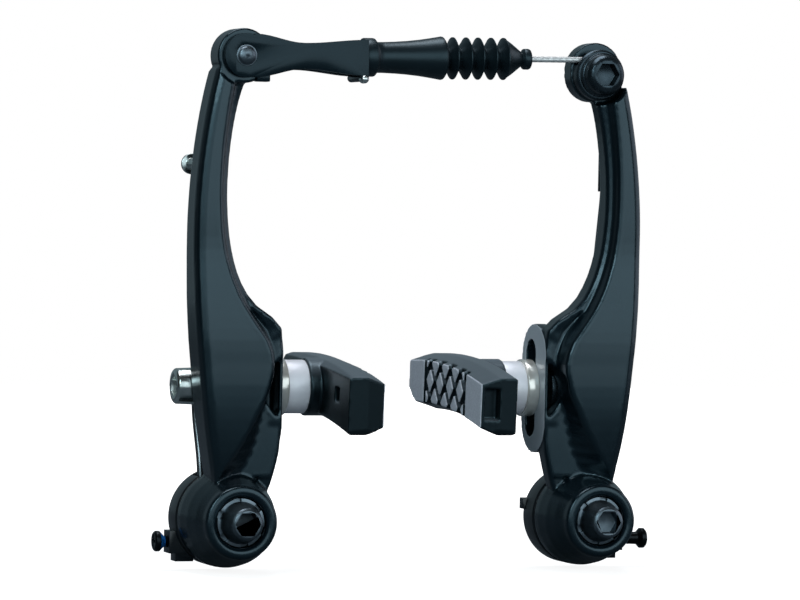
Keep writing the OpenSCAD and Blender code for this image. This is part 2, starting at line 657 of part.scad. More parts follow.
right_side() pad_nut();  // right_pad_nut
link();
link_rivet();
pipe_nose();
boot();
cable();
anchor_washer();
anchor_bolt();
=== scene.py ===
import json
import math
import bpy
import bmesh
from mathutils import Matrix, Vector


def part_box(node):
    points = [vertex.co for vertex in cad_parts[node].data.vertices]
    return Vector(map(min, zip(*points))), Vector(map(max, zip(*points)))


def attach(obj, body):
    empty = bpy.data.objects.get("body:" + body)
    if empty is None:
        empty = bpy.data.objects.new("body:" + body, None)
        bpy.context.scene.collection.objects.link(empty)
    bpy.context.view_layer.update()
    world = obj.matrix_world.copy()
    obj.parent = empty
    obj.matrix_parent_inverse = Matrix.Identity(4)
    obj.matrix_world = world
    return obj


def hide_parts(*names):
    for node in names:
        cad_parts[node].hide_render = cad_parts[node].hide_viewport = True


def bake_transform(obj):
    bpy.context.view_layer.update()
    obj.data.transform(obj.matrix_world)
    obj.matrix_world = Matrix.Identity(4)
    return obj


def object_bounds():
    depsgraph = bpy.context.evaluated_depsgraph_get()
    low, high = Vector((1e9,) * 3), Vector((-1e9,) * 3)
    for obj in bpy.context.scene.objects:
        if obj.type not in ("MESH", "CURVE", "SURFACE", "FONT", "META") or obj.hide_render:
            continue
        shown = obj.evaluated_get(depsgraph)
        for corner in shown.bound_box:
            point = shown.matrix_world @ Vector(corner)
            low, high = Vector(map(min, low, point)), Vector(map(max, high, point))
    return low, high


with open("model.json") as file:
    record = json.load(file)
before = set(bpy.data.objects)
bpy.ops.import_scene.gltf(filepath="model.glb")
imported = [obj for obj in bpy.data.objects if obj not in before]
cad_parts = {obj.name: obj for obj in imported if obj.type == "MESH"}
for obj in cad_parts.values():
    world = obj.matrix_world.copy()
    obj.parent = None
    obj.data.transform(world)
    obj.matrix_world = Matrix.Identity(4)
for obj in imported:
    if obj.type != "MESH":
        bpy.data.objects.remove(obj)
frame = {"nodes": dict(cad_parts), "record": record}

cad_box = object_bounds()
MM = 0.001

# Camera: a long lens a metre off, a little from the brake's left and a little above it,
# turned by about one degree as the photograph is.
azimuth, elevation, roll = math.radians(-18.6), math.radians(1.3), math.radians(1.1)
distance = 1020 * MM
target = Vector((-4.0, -15.0, 51.25)) * MM
toward_eye = Vector((math.sin(azimuth) * math.cos(elevation),
                     -math.cos(azimuth) * math.cos(elevation), math.sin(elevation)))
level = toward_eye.cross(Vector((0, 0, -1))).normalized()
upright = toward_eye.cross(level)
across = level * math.cos(roll) + upright * math.sin(roll)
upward = upright * math.cos(roll) - level * math.sin(roll)
lens = bpy.data.cameras.new("long_lens")
lens.sensor_width = 36
lens.lens = 196.8
lens.clip_start, lens.clip_end = 0.05, 20
camera = bpy.data.objects.new("camera", lens)
camera.matrix_world = Matrix.Translation(target + toward_eye * distance) @ Matrix(
    (across, upward, toward_eye)).transposed().to_4x4()
bpy.context.scene.collection.objects.link(camera)
bpy.context.scene.camera = camera

# Studio: a white sweep behind the brake and a pale floor just under it, which takes its
# shadow. Soft panels stand in front, at both sides, above and behind the camera, and lay the
# pale rims and the even sheen along the black enamel.
def rgb(code):
    """An sRGB hex colour as the linear colour that a shader takes."""
    parts = [int(code[i:i + 2], 16) / 255 for i in (1, 3, 5)]
    return [p / 12.92 if p <= 0.04045 else ((p + 0.055) / 1.055) ** 2.4 for p in parts] + [1]


def add(tree, kind, sockets={}, **settings):
    """Adds a node. A socket's value is another node's output, which is linked, or a constant."""
    node = tree.nodes.new(kind)
    for name, value in settings.items():
        setattr(node, name, value)
    for socket, value in sockets.items():
        if isinstance(value, bpy.types.NodeSocket):
            tree.links.new(value, node.inputs[socket])
        else:
            node.inputs[socket].default_value = value
    return node


def blank(name):
    """A new material with an empty node tree."""
    made = bpy.data.materials.new(name)
    made.use_nodes = True
    made.node_tree.nodes.clear()
    return made, made.node_tree


def sheet_of(name, paint, size, matrix):
    """A square sheet of the studio, reaching size metres each way from its middle."""
    bm = bmesh.new()
    bmesh.ops.create_grid(bm, x_segments=1, y_segments=1, size=size, matrix=matrix)
    mesh = bpy.data.meshes.new(name)
    bm.to_mesh(mesh)
    bm.free()
    mesh.materials.append(paint)
    made = bpy.data.objects.new(name, mesh)
    bpy.context.scene.collection.objects.link(made)


# Surround: seen white by the camera, and nearly dark to the brake, which the panels light.
bpy.context.scene.view_settings.view_transform = "Standard"
surround = bpy.data.worlds.new("white_surround")
surround.use_nodes = True
tree = surround.node_tree
tree.nodes.clear()
ray = add(tree, "ShaderNodeLightPath")
seen = add(tree, "ShaderNodeMath", {0: ray.outputs["Is Camera Ray"],
                                    1: ray.outputs["Is Transmission Ray"]}, operation="MAXIMUM")
dim = add(tree, "ShaderNodeBackground", {"Color": rgb("#e6edf2"), "Strength": 0.05})
white = add(tree, "ShaderNodeBackground", {"Color": rgb("#ffffff"), "Strength": 1.0})
mixed = add(tree, "ShaderNodeMixShader", {0: seen.outputs[0], 1: dim.outputs[0],
                                          2: white.outputs[0]})
add(tree, "ShaderNodeOutputWorld", {"Surface": mixed.outputs[0]})
bpy.context.scene.world = surround

# Floor paint: matt under the brake, where it takes the shadow, and pure white further out, so
# that no edge of the sheet shows.
shadow_reach, white_from, clearance = 90 * MM, 240 * MM, 1 * MM
floor_paint, tree = blank("white_floor_paint")
ray = add(tree, "ShaderNodeLightPath")
spot = add(tree, "ShaderNodeTexCoord").outputs["Object"]
reach = add(tree, "ShaderNodeVectorMath", {0: spot}, operation="LENGTH")
fade = add(tree, "ShaderNodeMapRange",
           {"Value": reach.outputs["Value"], "From Min": shadow_reach, "From Max": white_from,
            "To Min": 0.55, "To Max": 1.0}, interpolation_type="SMOOTHSTEP")
seen = add(tree, "ShaderNodeMath", {0: ray.outputs["Is Camera Ray"], 1: fade.outputs["Result"]},
           operation="MULTIPLY")
tone = add(tree, "ShaderNodeMix", {0: ray.outputs["Is Camera Ray"], 6: rgb("#5c646a"),
                                   7: rgb("#f0f0f0")}, data_type="RGBA")
paint = add(tree, "ShaderNodeBsdfDiffuse", {"Color": tone.outputs["Result"]})
glow = add(tree, "ShaderNodeEmission", {"Color": rgb("#ffffff"), "Strength": 1.6})
mixed = add(tree, "ShaderNodeMixShader", {0: seen.outputs[0], 1: paint.outputs[0],
                                          2: glow.outputs[0]})
add(tree, "ShaderNodeOutputMaterial", {"Surface": mixed.outputs[0]})
sheet_of("floor", floor_paint, 3.0, Matrix.Translation((0, 0, cad_box[0][2] - clearance)))

# Sweep paint: seen white by the camera and as a pale wall in the brake's reflections.
sweep_paint, tree = blank("white_sweep_paint")
ray = add(tree, "ShaderNodeLightPath")
seen = add(tree, "ShaderNodeMath", {0: ray.outputs["Is Camera Ray"],
                                    1: ray.outputs["Is Transmission Ray"]}, operation="MAXIMUM")
wall = add(tree, "ShaderNodeEmission", {"Color": rgb("#bcd8e4"), "Strength": 0.28})
glow = add(tree, "ShaderNodeEmission", {"Color": rgb("#ffffff"), "Strength": 1.0})
mixed = add(tree, "ShaderNodeMixShader", {0: seen.outputs[0], 1: wall.outputs[0],
                                          2: glow.outputs[0]})
add(tree, "ShaderNodeOutputMaterial", {"Surface": mixed.outputs[0]})
sweep_middle = (-0.15, 0.95, 0.75)
sheet_of("sweep", sweep_paint, 1.1,
         Matrix.Translation(sweep_middle) @ Matrix.Rotation(math.pi / 2, 4, "X"))

# Soft panels, all turned to the brake: name, stand (mm), size (mm), power (W) and tint. The
# rear panel is behind the camera and closes the dark gap between the front and left panels.
panels = (("key_box", (-560, -700, 480), (320, 420), 2.6, "#cfe6ee"),
          ("front_panel", (370, -980, 120), (860, 1200), 6.9, "#dcebf2"),
          ("side_wall", (880, -60, 120), (900, 800), 2.9, "#e4e8f4"),
          ("left_panel", (-640, -740, 100), (460, 900), 1.5, "#cfe6ee"),
          ("rear_panel", (-300, -1190, 140), (560, 1000), 2.6, "#d6e9f1"),
          ("top_box", (-60, 60, 760), (620, 300), 3.6, "#f4f8ff"))
for name, stand, size, power, tint in panels:
    lamp = bpy.data.lights.new(name, "AREA")
    lamp.shape = "RECTANGLE"
    lamp.size, lamp.size_y = size[0] * MM, size[1] * MM
    lamp.energy = power
    lamp.color = rgb(tint)[:3]
    box = bpy.data.objects.new(name, lamp)
    box.location = Vector(stand) * MM
    box.rotation_euler = (target - box.location).to_track_quat("-Z", "Y").to_euler()
    bpy.context.scene.collection.objects.link(box)

# Arms: aluminium castings under gloss black stove enamel, which rounds every edge. Each is
# remade in fine cells from the CAD arm, with a flat floor in its web, and then worn smooth.
stud_x = 44  # mm from the middle of the brake to each pivot stud
body_of = {node: body for body, group in frame["record"]["behaviour"]["bodies"].items()
           for node in group}


def copy_of(node):
    """A closed bmesh of the CAD node, for a piece that stands for it."""
    bm = bmesh.new()
    bm.from_mesh(frame["nodes"][node].data)
    bmesh.ops.remove_doubles(bm, verts=bm.verts, dist=0.002 * MM)
    return bm


def place(bm, name, paint, stands_for=(), body=None, crease=35, bend=None):
    """Makes the bmesh a piece that rides where its CAD node does; with bend, it is left
    unparented.
    """
    mesh = bpy.data.meshes.new(name)
    bmesh.ops.recalc_face_normals(bm, faces=bm.faces)
    bm.to_mesh(mesh)
    bm.free()
    mesh.shade_smooth()
    mesh.set_sharp_from_angle(angle=math.radians(crease))
    piece = bpy.data.objects.new(name, mesh)
    bpy.context.scene.collection.objects.link(piece)
    mesh.materials.append(paint)
    if bend:
        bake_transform(piece)
    else:
        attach(piece, body or body_of[stands_for[0]])
    if stands_for:
        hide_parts(*stands_for)
    return piece


def in_cells(piece, cell):
    """The piece's closed form remade in even cells, as a bmesh."""
    cells = piece.modifiers.new("cells", "REMESH")
    cells.mode = "VOXEL"
    cells.voxel_size = cell
    ready = piece.evaluated_get(bpy.context.evaluated_depsgraph_get())
    remade = bpy.data.meshes.new_from_object(ready)
    piece.modifiers.clear()
    bm = bmesh.new()
    bm.from_mesh(remade)
    return bm


def wear(bm, verts, turns):
    """Smooths verts in turn inwards and outwards, which rounds edges without thinning the form."""
    for turn in range(turns):
        for pull in (0.5, -0.53):
            bmesh.ops.smooth_vert(bm, verts=verts, factor=pull,
                                  use_axis_x=True, use_axis_y=True, use_axis_z=True)


# Stove enamel: sprayed and baked, so it is glossy with a faint orange peel a millimetre and a
# half across. The photograph's black leans to blue-green.
enamel, tree = blank("gloss_black_stove_enamel")
spot = add(tree, "ShaderNodeTexCoord").outputs["Object"]
peel = add(tree, "ShaderNodeTexNoise", {"Vector": spot, "Scale": 1 / (1.5 * MM), "Detail": 1.0})
cloud = add(tree, "ShaderNodeTexNoise", {"Vector": spot, "Scale": 1 / (14 * MM), "Detail": 3.0})
tone = add(tree, "ShaderNodeValToRGB", {"Fac": cloud.outputs["Fac"]})
tone.color_ramp.elements[0].color = rgb("#050d12")
tone.color_ramp.elements[1].color = rgb("#08141a")
gloss = add(tree, "ShaderNodeMapRange", {"Value": cloud.outputs["Fac"], "To Min": 0.22,
                                         "To Max": 0.3})
skin = add(tree, "ShaderNodeBump", {"Height": peel.outputs["Fac"], "Strength": 0.08,
                                    "Distance": 0.04 * MM})
# Painted sheen: the slotted plates' inner faces, where the washers slide, are painted a pale
# satin grey that stands in for the light they catch: as deep as the face, and from the plate's
# foot to its head, with each end faded.
face_depth, plate_foot, plate_head = (32.36, 32.43), (13, 14), (47, 48)
where = add(tree, "ShaderNodeSeparateXYZ", {0: spot})
inward = add(tree, "ShaderNodeMath", {0: where.outputs["X"]}, operation="ABSOLUTE")
flush = add(tree, "ShaderNodeMapRange",
            {"Value": inward.outputs[0], "From Min": face_depth[0] * MM,
             "From Max": face_depth[1] * MM, "To Min": 1.0, "To Max": 0.0})
above = add(tree, "ShaderNodeMapRange",
            {"Value": where.outputs["Z"], "From Min": plate_foot[0] * MM,
             "From Max": plate_foot[1] * MM})
below = add(tree, "ShaderNodeMapRange",
            {"Value": where.outputs["Z"], "From Min": plate_head[0] * MM,
             "From Max": plate_head[1] * MM, "To Min": 1.0, "To Max": 0.0})
between = add(tree, "ShaderNodeMath", {0: above.outputs[0], 1: below.outputs[0]},
              operation="MULTIPLY")
# mask of the painted sheen: the plates' inner faces, mixed to pale grey below
painted_plate_sheen = add(tree, "ShaderNodeMath", {0: between.outputs[0], 1: flush.outputs[0]},
             operation="MULTIPLY")
tone = add(tree, "ShaderNodeMix", {0: painted_plate_sheen.outputs[0], 6: tone.outputs["Color"],
                                   7: rgb("#a6acb3")}, data_type="RGBA")
surface = add(tree, "ShaderNodeBsdfPrincipled",
              {"Base Color": tone.outputs["Result"], "Roughness": gloss.outputs["Result"],
               "Normal": skin.outputs["Normal"], "IOR": 1.5, "Specular Tint": rgb("#bce8fa"),
               "Coat Weight": 0.25, "Coat Roughness": 0.15})
add(tree, "ShaderNodeOutputMaterial", {"Surface": surface.outputs[0]})

# The web's flat floors, below and above the washers' notch: y of each front face, then the
# outline as (inward from the stud, up), in mm. Both are sunk floor_depth into the web.
floor_depth = 4.5
web_floors = ((-15.5, ((-0.5, 10), (9.4, 10), (10.1, 12.5), (10.9, 16.5), (11.1, 20),
                       (11.1, 23.3), (9.8, 24.8), (8.1, 26.8), (7.3, 28.8), (6.5, 29.0),
                       (4.6, 23.2), (2.0, 16.5))),
              (-15.9, ((6.8, 32.2), (7.3, 32.2), (8.1, 34.2), (9.8, 36.2), (11.2, 37.8),
                       (11.2, 41.5), (10.0, 45.5), (3.9, 49.5), (1.2, 50.5), (3.0, 46.0),
                       (5.6, 42.6), (6.8, 38.0))))
# Where an arm is worn: the spine between boss and eye, but not the plate or the notch; more on
# the slope from the face down to the web; and along the outer front edge above the boss.
boss_head, eye_foot = 16 * MM, 97 * MM
plate_x, plate_low, plate_high = 36.8 * MM, 12 * MM, 50 * MM
notch_low, notch_high, web_front = 26 * MM, 37 * MM, -13.4 * MM
slope_head, edge_foot, edge_front, edge_x = 60 * MM, 24 * MM, -14 * MM, 48.6 * MM
slope_least, slope_most, faces_front = 0.3, 0.93, -0.3
turns_all, turns_spine, turns_slope, turns_edge = 3, 14, 45, 40
cell = 0.34 * MM
for side, out in (("left", -1), ("right", 1)):
    bm = copy_of(side + "_arm")
    for front, outline in web_floors:
        web = [bm.verts.new(((out * stud_x - out * x) * MM, front * MM, z * MM))
               for x, z in outline]
        sunk = bmesh.ops.extrude_face_region(bm, geom=[bm.faces.new(web)], use_keep_orig=True)
        bmesh.ops.translate(bm, vec=(0, floor_depth * MM, 0),
                            verts=[g for g in sunk["geom"] if isinstance(g, bmesh.types.BMVert)])
    casting = place(bm, side + "_arm_casting", enamel, (side + "_arm",))
    bm = in_cells(casting, cell)
    spine = []
    for v in bm.verts:
        on_plate = v.co.x * out < plate_x and plate_low < v.co.z < plate_high
        on_web = v.co.y < web_front and not notch_low <= v.co.z <= notch_high
        if boss_head < v.co.z < eye_foot and (on_web or not on_plate):
            spine.append(v)
    wear(bm, bm.verts, turns_all)
    wear(bm, spine, turns_spine)
    bm.normal_update()
    slope = [v for v in spine if v.co.z < slope_head and v.co.y < web_front
             and slope_least < v.normal.x * -out < slope_most and v.normal.y < faces_front]
    wear(bm, slope, turns_slope)
    wear(bm, [v for v in spine if v.co.z > edge_foot and v.co.y < edge_front
              and abs(v.co.x) > edge_x], turns_edge)
    bm.to_mesh(casting.data)
    bm.free()
    casting.data.shade_smooth()


# Pivots: a plated bushing turns on each stud, behind a notched collar and the cap bolt that
# screws into the stud. Collar and bolt are turned from bar, blackened, and burnished by use.
def eased(node, width):
    """A copy of a CAD node with its sharp edges rounded by width (mm)."""
    flat, sharp_from = math.radians(0.6), math.radians(30)
    bm = copy_of(node)
    bmesh.ops.dissolve_limit(bm, angle_limit=flat, verts=bm.verts, edges=bm.edges)
    sharp = [e for e in bm.edges if len(e.link_faces) == 2 and e.calc_face_angle(0) > sharp_from]
    bmesh.ops.bevel(bm, geom=sharp, offset=width * MM, offset_type="OFFSET", segments=2,
                    profile=0.5, affect="EDGES", material=-1, clamp_overlap=True)
    return bm


def metal(name, code, dark_code, roughness, grain, metallic=1.0):
    """A plain metal: colour clouds 4 mm across, and grain (mm) in its gloss and as tool marks."""
    made, tree = blank(name)
    spot = add(tree, "ShaderNodeTexCoord").outputs["Object"]
    cloud = add(tree, "ShaderNodeTexNoise", {"Vector": spot, "Scale": 1 / (4 * MM),
                                             "Detail": 4.0})
    fine = add(tree, "ShaderNodeTexNoise", {"Vector": spot, "Scale": 1 / (grain * MM),
                                            "Detail": 2.0})
    tone = add(tree, "ShaderNodeValToRGB", {"Fac": cloud.outputs["Fac"]})
    tone.color_ramp.elements[0].position = 0.3
    tone.color_ramp.elements[0].color = rgb(dark_code)
    tone.color_ramp.elements[1].position = 0.7
    tone.color_ramp.elements[1].color = rgb(code)
    gloss = add(tree, "ShaderNodeMapRange", {"Value": fine.outputs["Fac"],
                                             "To Min": roughness - 0.03,
                                             "To Max": roughness + 0.04})
    marks = add(tree, "ShaderNodeBump", {"Height": fine.outputs["Fac"], "Strength": 0.05,
                                         "Distance": 0.02 * MM})
    surface = add(tree, "ShaderNodeBsdfPrincipled",
                  {"Base Color": tone.outputs["Color"], "Roughness": gloss.outputs["Result"],
                   "Normal": marks.outputs["Normal"], "Metallic": metallic})
    add(tree, "ShaderNodeOutputMaterial", {"Surface": surface.outputs[0]})
    return made


# Black oxide keeps a dark, half metallic shine, and is greyer where it is burnished. Zinc
# plating is pale and mirrors the room softly.
black_steel = metal("black_oxide_steel", "#39454c", "#252f35", 0.27, 0.4, metallic=0.85)
worn_steel = metal("burnished_collar_steel", "#737e86", "#525d64", 0.37, 0.4)
zinc_steel = metal("zinc_plated_steel", "#dadfdc", "#b4bbb7", 0.2, 0.3)
for side in ("left", "right"):
    place(eased(side + "_pivot_bushing", 0.12), side + "_bushing", zinc_steel,
          (side + "_pivot_bushing",))
    place(eased(side + "_pivot_collar", 0.15), side + "_collar", worn_steel,
          (side + "_pivot_collar",))
    place(eased(side + "_pivot_bolt", 0.25), side + "_stud_bolt", worn_steel,
          (side + "_pivot_bolt",))

# Spring boxes: glass-filled nylon mouldings that hold each coil and carry the tension screw in
# a lug on the outer side. Their fine spark-eroded satin breaks the reflections a little.
nylon, tree = blank("black_glass_filled_nylon")
spot = add(tree, "ShaderNodeTexCoord").outputs["Object"]
grain = add(tree, "ShaderNodeTexNoise", {"Vector": spot, "Scale": 1 / (0.35 * MM), "Detail": 2.0})
cloud = add(tree, "ShaderNodeTexNoise", {"Vector": spot, "Scale": 1 / (6 * MM), "Detail": 2.0})
tone = add(tree, "ShaderNodeValToRGB", {"Fac": cloud.outputs["Fac"]})
tone.color_ramp.elements[0].color = rgb("#070c10")
tone.color_ramp.elements[1].color = rgb("#0c1419")
skin = add(tree, "ShaderNodeBump", {"Height": grain.outputs["Fac"], "Strength": 0.2,
                                    "Distance": 0.04 * MM})
surface = add(tree, "ShaderNodeBsdfPrincipled",
              {"Base Color": tone.outputs["Color"], "Roughness": 0.29,
               "Normal": skin.outputs["Normal"], "IOR": 1.53})
add(tree, "ShaderNodeOutputMaterial", {"Surface": surface.outputs[0]})
for side in ("left", "right"):
    place(eased(side + "_spring_box", 0.3), side + "_spring_case", nylon,
          (side + "_spring_box",))
    place(eased(side + "_spring_sleeve", 0.1), side + "_wire_sleeve", nylon,
          (side + "_spring_sleeve",))
    place(eased(side + "_catch_pin", 0.15), side + "_spring_catch", zinc_steel,
          (side + "_catch_pin",))


# Return springs: stainless wire, coiled twice and a half in the box around the bushing, led up
# behind the arm and round the pad's nut, and hooked behind the catch pin in its plastic sleeve.
def tube(bm, path, radius, sides=12, strands=0, lay=0.0):
    """Extrudes a ring along the path. Strands dent the ring, and lay (mm) is their pitch."""
    way = (path[1] - path[0]).normalized()
    ring = bmesh.ops.create_circle(bm, cap_ends=True, radius=radius * MM, segments=sides)["verts"]
    for vert in ring:
        if strands:
            angle = math.atan2(vert.co.y, vert.co.x)
            vert.co *= 1 - 0.03 * abs(math.sin(angle * strands / 2)) ** 3
    first = way.to_track_quat("Z", "Y").to_matrix().to_4x4()
    bmesh.ops.transform(bm, matrix=Matrix.Translation(path[0] * MM) @ first, verts=ring)
    edges = list(dict.fromkeys(edge for vert in ring for edge in vert.link_edges))
    for i in range(1, len(path)):
        moved = bmesh.ops.extrude_edge_only(bm, edges=edges)["geom"]
        verts = [g for g in moved if isinstance(g, bmesh.types.BMVert)]
        edges = [g for g in moved if isinstance(g, bmesh.types.BMEdge)
                 and g.verts[0] in verts and g.verts[1] in verts]
        step = path[i] - path[i - 1]
        ahead = path[i + 1] - path[i - 1] if i + 1 < len(path) else step
        swing = way.rotation_difference(ahead.normalized())
        if lay:
            twist = Matrix.Rotation(2 * math.pi * step.length / lay, 3, way)
            swing = swing @ twist.to_quaternion()
        bmesh.ops.transform(bm, verts=verts, matrix=Matrix.Translation(path[i] * MM)
                            @ swing.to_matrix().to_4x4() @ Matrix.Translation(-path[i - 1] * MM))
        way = ahead.normalized()
    bmesh.ops.contextual_create(bm, geom=edges)


def rounded(points, bend):
    """The points joined with each corner turned into a curve that starts bend mm before it."""
    steps = 6
    path = [points[0]]
    for a, b, c in zip(points, points[1:], points[2:]):
        start = b + (a - b).normalized() * min(bend, (a - b).length * 0.49)
        end = b + (c - b).normalized() * min(bend, (c - b).length * 0.49)
        path += [start.lerp(b, t).lerp(b.lerp(end, t), t)
                 for t in (i / steps for i in range(steps + 1))]
    return path + [points[-1]]


# the coil turns coil_angle about the stud and rises coil_height towards the back; the leg then
# runs up through these places, given as (inward from the stud, back, up) in mm
coil_radius, coil_front, coil_height, coil_steps = 6.7, -6.4, 2.4, 90
coil_angle = 5 * math.pi - 0.86
leg_route = ((-4.37, -4, 5.08), (-4.4, -4, 12), (-4.7, 0.75, 24.5), (-4.8, 0.75, 36.5),
             (-5.45, -7.3, 77.5), (-5.45, -7.3, 88))
wire_radius, leg_bend, box_top, sleeve_foot = 0.9, 4, 13, 76
spring_wire = metal("stainless_spring_wire", "#8f9598", "#6f7578", 0.3, 0.25)
for side, out in (("left", -1), ("right", 1)):
    coil = [Vector((out * stud_x - out * coil_radius * math.cos(a),
                    coil_front + coil_height * a / coil_angle, coil_radius * math.sin(a)))
            for a in (i * coil_angle / coil_steps for i in range(coil_steps + 1))]
    leg = [Vector((out * stud_x - out * x, y, z)) for x, y, z in leg_route]
    bm = bmesh.new()
    tube(bm, coil[:-1] + rounded(leg, leg_bend), wire_radius)
    place(bm, side + "_return_spring", spring_wire, (side + "_spring",), crease=60,
          bend=("studs", side + "_lever", (out * stud_x * MM, 0, box_top * MM),
                (out * stud_x * MM, 0, sleeve_foot * MM)))

# Tension screws: M3 screws that set each spring's preload, with a cross-slotted head, a rolled
# thread and a patch of blue nylon that keeps the thread from turning by itself.
patch_from, patch_to = (56.9, 57.0), (58.1, 58.2)
lock_patch, tree = blank("black_screw_with_blue_thread_lock")
spot = add(tree, "ShaderNodeTexCoord").outputs["Object"]
along = add(tree, "ShaderNodeSeparateXYZ", {0: spot}).outputs["X"]
span = add(tree, "ShaderNodeMath", {0: along}, operation="ABSOLUTE")
near = add(tree, "ShaderNodeMapRange", {"Value": span.outputs[0], "From Min": patch_from[0] * MM,
                                        "From Max": patch_from[1] * MM})
far = add(tree, "ShaderNodeMapRange",
          {"Value": span.outputs[0], "From Min": patch_to[0] * MM, "From Max": patch_to[1] * MM,
           "To Min": 1.0, "To Max": 0.0})
ragged = add(tree, "ShaderNodeTexNoise", {"Vector": spot, "Scale": 1 / (0.6 * MM)})
both = add(tree, "ShaderNodeMath", {0: near.outputs[0], 1: far.outputs[0]}, operation="MULTIPLY")
keep = add(tree, "ShaderNodeMath", {0: ragged.outputs["Fac"], 1: 0.34}, operation="GREATER_THAN")
patch = add(tree, "ShaderNodeMath", {0: both.outputs[0], 1: keep.outputs[0]},
            operation="MULTIPLY")
tone = add(tree, "ShaderNodeMix", {0: patch.outputs[0], 6: rgb("#14191c"), 7: rgb("#1a63a8")},
           data_type="RGBA")
bare = add(tree, "ShaderNodeMath", {0: 0.8, 1: patch.outputs[0]}, operation="SUBTRACT",
           use_clamp=True)
grain = add(tree, "ShaderNodeTexNoise", {"Vector": spot, "Scale": 1 / (0.25 * MM)})
skin = add(tree, "ShaderNodeBump", {"Height": grain.outputs["Fac"], "Strength": 0.1,
                                    "Distance": 0.03 * MM})
surface = add(tree, "ShaderNodeBsdfPrincipled",
              {"Base Color": tone.outputs["Result"], "Roughness": 0.32,
               "Metallic": bare.outputs[0], "Normal": skin.outputs["Normal"]})
add(tree, "ShaderNodeOutputMaterial", {"Surface": surface.outputs[0]})
# the plain core is thinned to the thread's root and a rolled ridge laid around it, both up to
# the head; screw_y and screw_z are the axis, and tip is the head's end beyond the stud (mm)
screw_y, screw_z, core_radius, root_share, core_short, ridge_short = -4, -5.6, 1.4, 0.84, 2.3, 2.4
thread_from, pitch, ridge_radius, ridge_size, ridge_steps = 9.6, 0.5, 1.3, 0.2, 20
for side, out, tip in (("left", -1, 15.5), ("right", 1, 18.9)):
    bm = eased(side + "_tension_screw", 0.1)
    root = [v for v in bm.verts
            if math.hypot(v.co.y / MM - screw_y, v.co.z / MM - screw_z) > core_radius
            and abs(v.co.x / MM) - stud_x < tip - core_short]
    for vert in root:
        vert.co.y = screw_y * MM + (vert.co.y - screw_y * MM) * root_share
        vert.co.z = screw_z * MM + (vert.co.z - screw_z * MM) * root_share
    turns = (tip - ridge_short - thread_from) / pitch
    helix = [Vector((out * (stud_x + thread_from + pitch * t),
                     screw_y + ridge_radius * math.cos(2 * math.pi * t),
                     screw_z + ridge_radius * math.sin(2 * math.pi * t)))
             for t in (i / ridge_steps for i in range(int(turns * ridge_steps)))]
    tube(bm, helix, ridge_size, sides=4)
    place(bm, side + "_tensioner", lock_patch, (side + "_tension_screw",))

# Brake blocks: rubber moulded on a threaded post, with a lattice of grooves in the friction
# face and a slot in the back. The mould leaves rounded edges and a dark skin, a painted top
# light greys the faces that look up, and the ground friction face is dry and pale.
ground_depth = (11.95, 12.02)
pad_rubber, tree = blank("moulded_pad_rubber")
spot = add(tree, "ShaderNodeTexCoord").outputs["Object"]
grain = add(tree, "ShaderNodeTexNoise", {"Vector": spot, "Scale": 1 / (0.4 * MM), "Detail": 3.0})
cloud = add(tree, "ShaderNodeTexNoise", {"Vector": spot, "Scale": 1 / (7 * MM), "Detail": 3.0})
skin_tone = add(tree, "ShaderNodeValToRGB", {"Fac": cloud.outputs["Fac"]})
skin_tone.color_ramp.elements[0].color = rgb("#05090c")
skin_tone.color_ramp.elements[1].color = rgb("#081013")
ground_tone = add(tree, "ShaderNodeValToRGB", {"Fac": grain.outputs["Fac"]})
ground_tone.color_ramp.elements[0].color = rgb("#a4a6af")
ground_tone.color_ramp.elements[1].color = rgb("#d8dae2")
along = add(tree, "ShaderNodeSeparateXYZ", {0: spot}).outputs["X"]
span = add(tree, "ShaderNodeMath", {0: along}, operation="ABSOLUTE")
ground = add(tree, "ShaderNodeMapRange",
             {"Value": span.outputs[0], "From Min": ground_depth[0] * MM,
              "From Max": ground_depth[1] * MM, "To Min": 1.0, "To Max": 0.0})
# painted top light: faces that look up are greyed towards #737b83, as if lit from above
normal = add(tree, "ShaderNodeNewGeometry").outputs["Normal"]
facing = add(tree, "ShaderNodeSeparateXYZ", {0: normal}).outputs["Z"]
painted_top_light = add(tree, "ShaderNodeMapRange", {"Value": facing, "From Min": 0.3, "From Max": 1.0,
                                        "To Max": 0.65})
top_lit_skin = add(tree, "ShaderNodeMix", {0: painted_top_light.outputs["Result"], 6: skin_tone.outputs["Color"],
                                    7: rgb("#737b83")}, data_type="RGBA")
tone = add(tree, "ShaderNodeMix", {0: ground.outputs["Result"], 6: top_lit_skin.outputs["Result"],
                                   7: ground_tone.outputs["Color"]}, data_type="RGBA")
gloss = add(tree, "ShaderNodeMapRange", {"Value": ground.outputs["Result"], "To Min": 0.3,
                                         "To Max": 0.7})
skin = add(tree, "ShaderNodeBump", {"Height": grain.outputs["Fac"], "Strength": 0.12,
                                    "Distance": 0.04 * MM})
surface = add(tree, "ShaderNodeBsdfPrincipled",
              {"Base Color": tone.outputs["Result"], "Roughness": gloss.outputs["Result"],
               "Normal": skin.outputs["Normal"], "IOR": 1.5, "Specular Tint": rgb("#c8ecfa")})
add(tree, "ShaderNodeOutputMaterial", {"Surface": surface.outputs[0]})


def box_at(bm, middle, size, tilt=0):
    """Adds a box of size (mm) about its middle (mm), tilted by degrees about X."""
    bmesh.ops.create_cube(bm, size=1.0, matrix=Matrix.Translation(Vector(middle) * MM)
                          @ Matrix.Rotation(math.radians(tilt), 4, "X")
                          @ Matrix.Diagonal([length * MM for length in size] + [1]))


